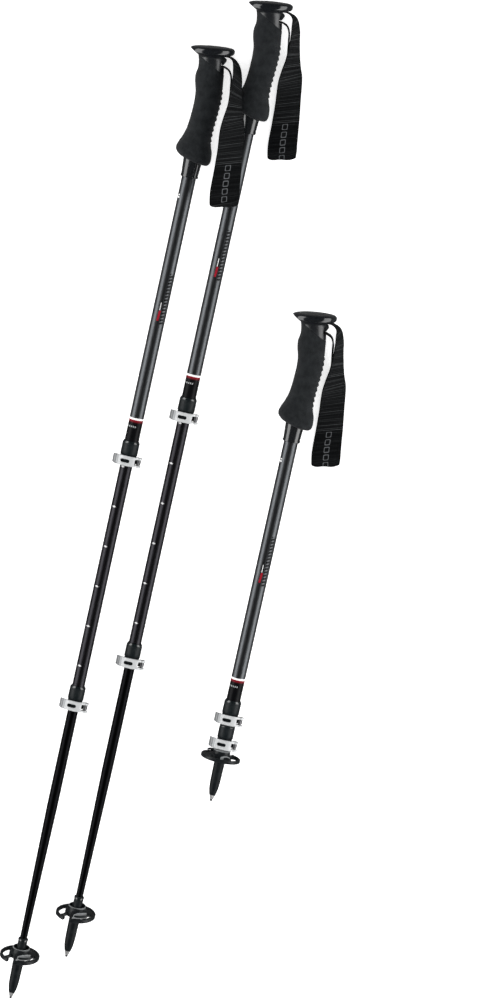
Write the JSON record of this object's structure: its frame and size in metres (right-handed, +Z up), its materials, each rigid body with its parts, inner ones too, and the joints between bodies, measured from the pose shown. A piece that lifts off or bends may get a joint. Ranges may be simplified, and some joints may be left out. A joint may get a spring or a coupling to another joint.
{
  "type": "trekking poles",
  "caption": "Telescopic trekking poles with lever clamps, foam grips, wrist straps, baskets and carbide tips, laid side by side, extended and collapsed.",
  "frame": {"origin": "middle of the underside of the poles as they lie on a floor", "axes": "+Y along the shafts towards the grips, +X towards the collapsed pole, +Z up from the floor"},
  "size_m": [0.2962, 1.3228, 0.0685],
  "materials": {
    "grip_head": "gloss moulded",
    "foam_grip": "closed-cell foam, matt",
    "grip_collar": "gloss moulded",
    "strap_webbing": "ribbed woven webbing",
    "strap_wedge": "satin moulded",
    "pin_steel": "plain steel",
    "upper_tube": "satin gunmetal",
    "clamp_body": "satin moulded",
    "bolt_steel": "plain steel",
    "clamp_lever": "satin anodised",
    "middle_tube": "satin anthracite",
    "guide_bush": "moulded",
    "lower_tube": "satin black",
    "basket": "satin moulded",
    "flex_tip": "satin moulded",
    "carbide_tip": "ground steel and carbide"
  },
  "bodies": {
    "left_upper": {"left_grip_head": "grip_head", "left_foam_grip": "foam_grip", "left_grip_collar": "grip_collar", "left_strap_pin": "pin_steel", "left_upper_tube": "upper_tube", "left_upper_clamp": "clamp_body", "left_upper_bolt": "bolt_steel"},
    "left_middle": {"left_middle_tube": "middle_tube", "left_middle_bush": "guide_bush", "left_lower_clamp": "clamp_body", "left_lower_bolt": "bolt_steel"},
    "left_lower": {"left_lower_tube": "lower_tube", "left_lower_bush": "guide_bush", "left_flex_tip": "flex_tip", "left_carbide_tip": "carbide_tip"},
    "left_basket_ring": {"left_basket": "basket"},
    "left_upper_lever_arm": {"left_upper_lever": "clamp_lever"},
    "left_lower_lever_arm": {"left_lower_lever": "clamp_lever"},
    "left_strap": {"left_wrist_strap": "strap_webbing"},
    "left_wedge": {"left_strap_wedge": "strap_wedge"},
    "centre_upper": {"centre_grip_head": "grip_head", "centre_foam_grip": "foam_grip", "centre_grip_collar": "grip_collar", "centre_strap_pin": "pin_steel", "centre_upper_tube": "upper_tube", "centre_upper_clamp": "clamp_body", "centre_upper_bolt": "bolt_steel"},
    "centre_middle": {"centre_middle_tube": "middle_tube", "centre_middle_bush": "guide_bush", "centre_lower_clamp": "clamp_body", "centre_lower_bolt": "bolt_steel"},
    "centre_lower": {"centre_lower_tube": "lower_tube", "centre_lower_bush": "guide_bush", "centre_flex_tip": "flex_tip", "centre_carbide_tip": "carbide_tip"},
    "centre_basket_ring": {"centre_basket": "basket"},
    "centre_upper_lever_arm": {"centre_upper_lever": "clamp_lever"},
    "centre_lower_lever_arm": {"centre_lower_lever": "clamp_lever"},
    "centre_strap": {"centre_wrist_strap": "strap_webbing"},
    "centre_wedge": {"centre_strap_wedge": "strap_wedge"},
    "right_upper": {"right_grip_head": "grip_head", "right_foam_grip": "foam_grip", "right_grip_collar": "grip_collar", "right_strap_pin": "pin_steel", "right_upper_tube": "upper_tube", "right_upper_clamp": "clamp_body", "right_upper_bolt": "bolt_steel"},
    "right_middle": {"right_middle_tube": "middle_tube", "right_middle_bush": "guide_bush", "right_lower_clamp": "clamp_body", "right_lower_bolt": "bolt_steel"},
    "right_lower": {"right_lower_tube": "lower_tube", "right_lower_bush": "guide_bush", "right_flex_tip": "flex_tip", "right_carbide_tip": "carbide_tip"},
    "right_basket_ring": {"right_basket": "basket"},
    "right_upper_lever_arm": {"right_upper_lever": "clamp_lever"},
    "right_lower_lever_arm": {"right_lower_lever": "clamp_lever"},
    "right_strap": {"right_wrist_strap": "strap_webbing"},
    "right_wedge": {"right_strap_wedge": "strap_wedge"}
  },
  "joints": [
    {"name": "left_pole_lift", "type": "slide", "parent": "centre_upper", "child": "left_upper", "axis": [0, 0, 1], "range_m": [0, 0.12]},
    {"name": "left_middle_slide", "type": "slide", "parent": "left_upper", "child": "left_middle", "axis": [0, 1, 0], "range_m": [0, 0.29]},
    {"name": "left_lower_slide", "type": "slide", "parent": "left_middle", "child": "left_lower", "axis": [0, 1, 0], "range_m": [0, 0.318]},
    {"name": "left_upper_lever_hinge", "type": "hinge", "parent": "left_upper", "child": "left_upper_lever_arm", "pos_m": [-0.10111, 0.05761, 0.0327], "axis": [0, 1, 0], "range_deg": [0, 115]},
    {"name": "left_lower_lever_hinge", "type": "hinge", "parent": "left_middle", "child": "left_lower_lever_arm", "pos_m": [-0.10111, -0.26538, 0.0327], "axis": [0, 1, 0], "range_deg": [0, 115]},
    {"name": "left_basket_off", "type": "slide", "parent": "left_lower", "child": "left_basket_ring", "axis": [0, -1, 0], "range_m": [0, 0.075]},
    {"name": "left_strap_swing", "type": "hinge", "parent": "left_upper", "child": "left_strap", "pos_m": [-0.10971, 0.57412, 0.0255], "axis": [0, 0, 1], "range_deg": [0, 20]},
    {"name": "left_wedge_pull", "type": "slide", "parent": "left_upper", "child": "left_wedge", "axis": [1, 0, 0], "range_m": [0, 0.005]},
    {"name": "centre_middle_slide", "type": "slide", "parent": "centre_upper", "child": "centre_middle", "axis": [0, 1, 0], "range_m": [0, 0.29]},
    {"name": "centre_lower_slide", "type": "slide", "parent": "centre_middle", "child": "centre_lower", "axis": [0, 1, 0], "range_m": [0, 0.318]},
    {"name": "centre_upper_lever_hinge", "type": "hinge", "parent": "centre_upper", "child": "centre_upper_lever_arm", "pos_m": [-0.04231, 0.12712, 0.0327], "axis": [0, 1, 0], "range_deg": [0, 115]},
    {"name": "centre_lower_lever_hinge", "type": "hinge", "parent": "centre_middle", "child": "centre_lower_lever_arm", "pos_m": [-0.04231, -0.19589, 0.0327], "axis": [0, 1, 0], "range_deg": [0, 115]},
    {"name": "centre_basket_off", "type": "slide", "parent": "centre_lower", "child": "centre_basket_ring", "axis": [0, -1, 0], "range_m": [0, 0.075]},
    {"name": "centre_strap_swing", "type": "hinge", "parent": "centre_upper", "child": "centre_strap", "pos_m": [-0.05091, 0.64362, 0.0255], "axis": [0, 0, 1], "range_deg": [0, 20]},
    {"name": "centre_wedge_pull", "type": "slide", "parent": "centre_upper", "child": "centre_wedge", "axis": [1, 0, 0], "range_m": [0, 0.005]},
    {"name": "right_pole_lift", "type": "slide", "parent": "centre_upper", "child": "right_upper", "axis": [0, 0, 1], "range_m": [0, 0.12]},
    {"name": "right_middle_slide", "type": "slide", "parent": "right_upper", "child": "right_middle", "axis": [0, -1, 0], "range_m": [0, 0.29]},
    {"name": "right_lower_slide", "type": "slide", "parent": "right_middle", "child": "right_lower", "axis": [0, -1, 0], "range_m": [0, 0.318]},
    {"name": "right_upper_lever_hinge", "type": "hinge", "parent": "right_upper", "child": "right_upper_lever_arm", "pos_m": [0.09589, -0.24138, 0.0327], "axis": [0, 1, 0], "range_deg": [0, 115]},
    {"name": "right_lower_lever_hinge", "type": "hinge", "parent": "right_middle", "child": "right_lower_lever_arm", "pos_m": [0.09589, -0.27388, 0.0327], "axis": [0, 1, 0], "range_deg": [0, 115]},
    {"name": "right_basket_off", "type": "slide", "parent": "right_lower", "child": "right_basket_ring", "axis": [0, -1, 0], "range_m": [0, 0.075]},
    {"name": "right_strap_swing", "type": "hinge", "parent": "right_upper", "child": "right_strap", "pos_m": [0.08729, 0.27511, 0.0255], "axis": [0, 0, 1], "range_deg": [0, 20]},
    {"name": "right_wedge_pull", "type": "slide", "parent": "right_upper", "child": "right_wedge", "axis": [1, 0, 0], "range_m": [0, 0.005]}
  ]
}
